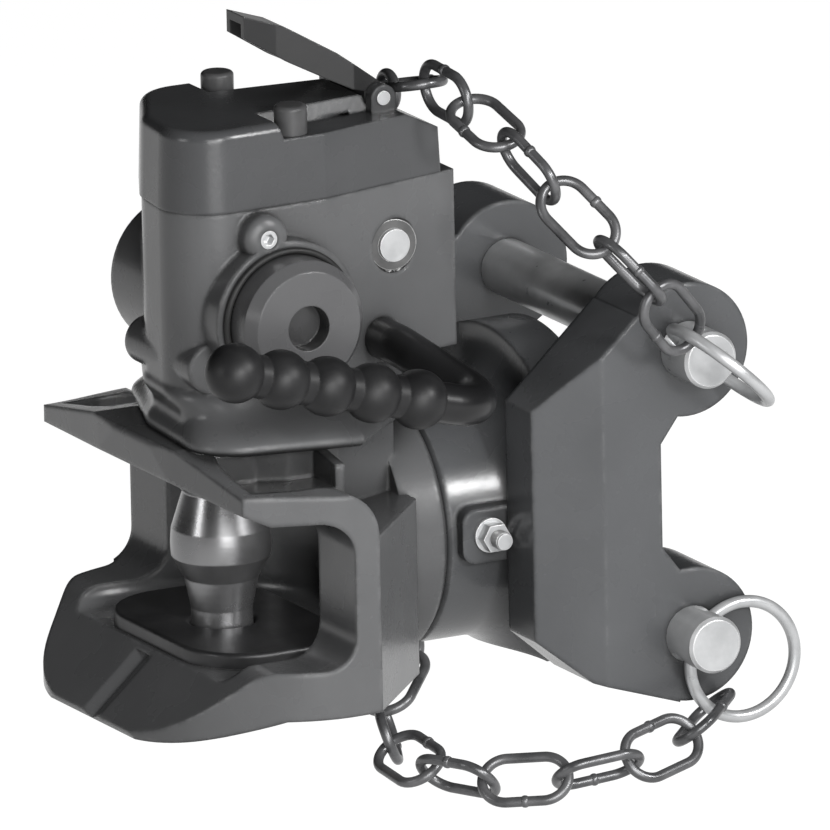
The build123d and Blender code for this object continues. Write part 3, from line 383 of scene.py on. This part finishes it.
# Copy a CAD node's mesh, joined up, to a new piece that stands for the node
def standIn(name, ending):
    piece = bpy.data.objects.new(name + ending, frame["nodes"][name].data.copy())
    bpy.context.scene.collection.objects.link(piece)
    clearSelection()
    piece.select_set(True)
    bpy.context.view_layer.objects.active = piece
    bpy.ops.object.mode_set(mode="EDIT")
    bpy.ops.mesh.select_all(action="SELECT")
    bpy.ops.mesh.remove_doubles(threshold=0.000001)
    bpy.ops.object.mode_set(mode="OBJECT")
    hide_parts(name)
    return piece


# Stand-in for the closing spring; the spring gets shorter as the pin rises, this piece keeps one
# length
spring = standIn("closing_spring", "_pressed")
finishPiece(spring, "closing_spring_pressed", "spring_steel", "head", Matrix.Identity(4))
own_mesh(spring)

# The upper chain hangs between the head and the pin's ring; its links are attached to no body
upperLinks = sorted(name for name in frame["nodes"] if name.startswith("upper_link_"))
chainEnds = [
    tuple((low + high) / 2 for low, high in zip(*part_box(name)))
    for name in (upperLinks[0], upperLinks[-1])
]
hung = ("head", "bracket", *chainEnds)
for name in upperLinks:
    finishPiece(standIn(name, "_hung"), name + "_hung", "chain_steel", hung, Matrix.Identity(4))

# Butt-weld swell round the wire at the middle of one side of each chain link
weldValues = {"side": 0.012, "ring": 0.002, "swell": 0.00105, "stretch": 1.7}
for body, names in frame["record"]["behaviour"]["bodies"].items():
    for name in [name for name in names if "_link_" in name]:
        corners = np.array([corner.co for corner in frame["nodes"][name].data.vertices])
        centre = corners.mean(axis=0)
        heading, across, normal = np.linalg.svd(corners - centre, full_matrices=False)[2]
        clearSelection()
        bpy.ops.mesh.primitive_torus_add(
            major_radius=weldValues["ring"], minor_radius=weldValues["swell"],
            major_segments=32, minor_segments=12,
        )
        turn = Vector(heading).to_track_quat("Z", "Y").to_matrix().to_4x4()
        place = Matrix.Translation(centre + across * weldValues["side"]) @ turn
        finishPiece(
            bpy.context.object, name + "_weld", "chain_steel", hung if name in upperLinks else body,
            place @ Matrix.Diagonal((1, 1, weldValues["stretch"], 1)),
        )

print("stage: floor, lights and camera")


# One for what the camera sees straight on, in a reflection or through glass
def directRay(nodes, links):
    rays = nodes.new("ShaderNodeLightPath")
    total = rays.outputs["Is Camera Ray"]
    for kind in ("Is Glossy Ray", "Is Transmission Ray"):
        either = nodes.new("ShaderNodeMath")
        either.operation = "MAXIMUM"
        links.new(total, either.inputs[0])
        links.new(rays.outputs[kind], either.inputs[1])
        total = either.outputs["Value"]
    return total


floorValues = {"drop": 0.012, "size": 60, "colour": 0.12, "glow": 0.97}
lowest = min(corner[2] for corner in cadBox)
bpy.ops.mesh.primitive_plane_add(size=floorValues["size"])
floor = bpy.context.object
floor.name = "floor"
floor.location.z = lowest - floorValues["drop"]
bpy.ops.object.transform_apply()
floorMaterial = bpy.data.materials.new("floorPaper")
floorMaterial.use_nodes = True
floorNodes = floorMaterial.node_tree.nodes
floorLinks = floorMaterial.node_tree.links
floorShader = floorNodes["Principled BSDF"]
floorShader.inputs["Base Color"].default_value = (*[floorValues["colour"]] * 3, 1)
floorShader.inputs["Roughness"].default_value = 0.9
floorShader.inputs["Emission Color"].default_value = (1, 1, 1, 1)
seen = floorNodes.new("ShaderNodeMath")
seen.operation = "MULTIPLY"
seen.inputs[1].default_value = floorValues["glow"]
floorLinks.new(directRay(floorNodes, floorLinks), seen.inputs[0])
floorLinks.new(seen.outputs["Value"], floorShader.inputs["Emission Strength"])
floor.data.materials.append(floorMaterial)

worldValues = {"light": 0.05, "mirrored": 0.15}
world = bpy.data.worlds.new("studio")
bpy.context.scene.world = world
world.use_nodes = True
worldNodes = world.node_tree.nodes
worldLinks = world.node_tree.links
background = worldNodes["Background"]
strength = worldNodes.new("ShaderNodeMapRange")
strength.inputs["To Min"].default_value = worldValues["light"]
strength.inputs["To Max"].default_value = worldValues["mirrored"]
worldLinks.new(directRay(worldNodes, worldLinks), strength.inputs["Value"])
worldLinks.new(strength.outputs["Result"], background.inputs["Strength"])

middle = Vector((0.0911, -0.030, 0.0576))  # where the lamps and the camera point


# Square area lamp aimed at the middle, with or without a shadow of its own
def areaLamp(name, azimuth, elevation, distance, size, power, shadow=True):
    turn, rise = math.radians(azimuth), math.radians(elevation)
    back = Vector((
        math.sin(turn) * math.cos(rise), -math.cos(turn) * math.cos(rise), math.sin(rise),
    ))
    data = bpy.data.lights.new(name, "AREA")
    data.size = size
    data.energy = power
    data.use_shadow = shadow
    data.cycles.use_multiple_importance_sampling = shadow
    lamp = bpy.data.objects.new(name, data)
    bpy.context.scene.collection.objects.link(lamp)
    lamp.location = middle + back * distance
    lamp.rotation_mode = "QUATERNION"
    lamp.rotation_quaternion = (-back).to_track_quat("-Z", "Y")


# Azimuth, elevation, distance, size and power, and False where the lamp casts no shadow
lampValues = {
    "left": (-84, 14, 2.2, 0.4, 8),
    "front": (0, 20, 2.6, 0.3, 30),
    "key": (30, 28, 2.4, 0.3, 42, False),
    "fill": (-14, 9, 2.4, 1.2, 47),
}
for name, values in lampValues.items():
    areaLamp(name, *values)

# The camera looks as the photograph does, from far away through a long lens
cameraValues = {"frame": 0.399, "lens": 1289.0, "sensor": 36.0}
right = Vector((0.8846, -0.4662, -0.0194)).normalized()
up = Vector((0.1373, 0.2203, 0.9657)).normalized()
back = right.cross(up).normalized()
up = back.cross(right)
distance = cameraValues["frame"] * cameraValues["lens"] / cameraValues["sensor"]
cameraData = bpy.data.cameras.new("camera")
cameraData.lens = cameraValues["lens"]
cameraData.sensor_width = cameraValues["sensor"]
cameraData.clip_end = 200
camera = bpy.data.objects.new("camera", cameraData)
bpy.context.scene.collection.objects.link(camera)
camera.matrix_world = Matrix.Translation(middle + back * distance) @ Matrix(
    (right, up, back)
).transposed().to_4x4()
bpy.context.scene.camera = camera
bpy.context.scene.view_settings.view_transform = "Standard"
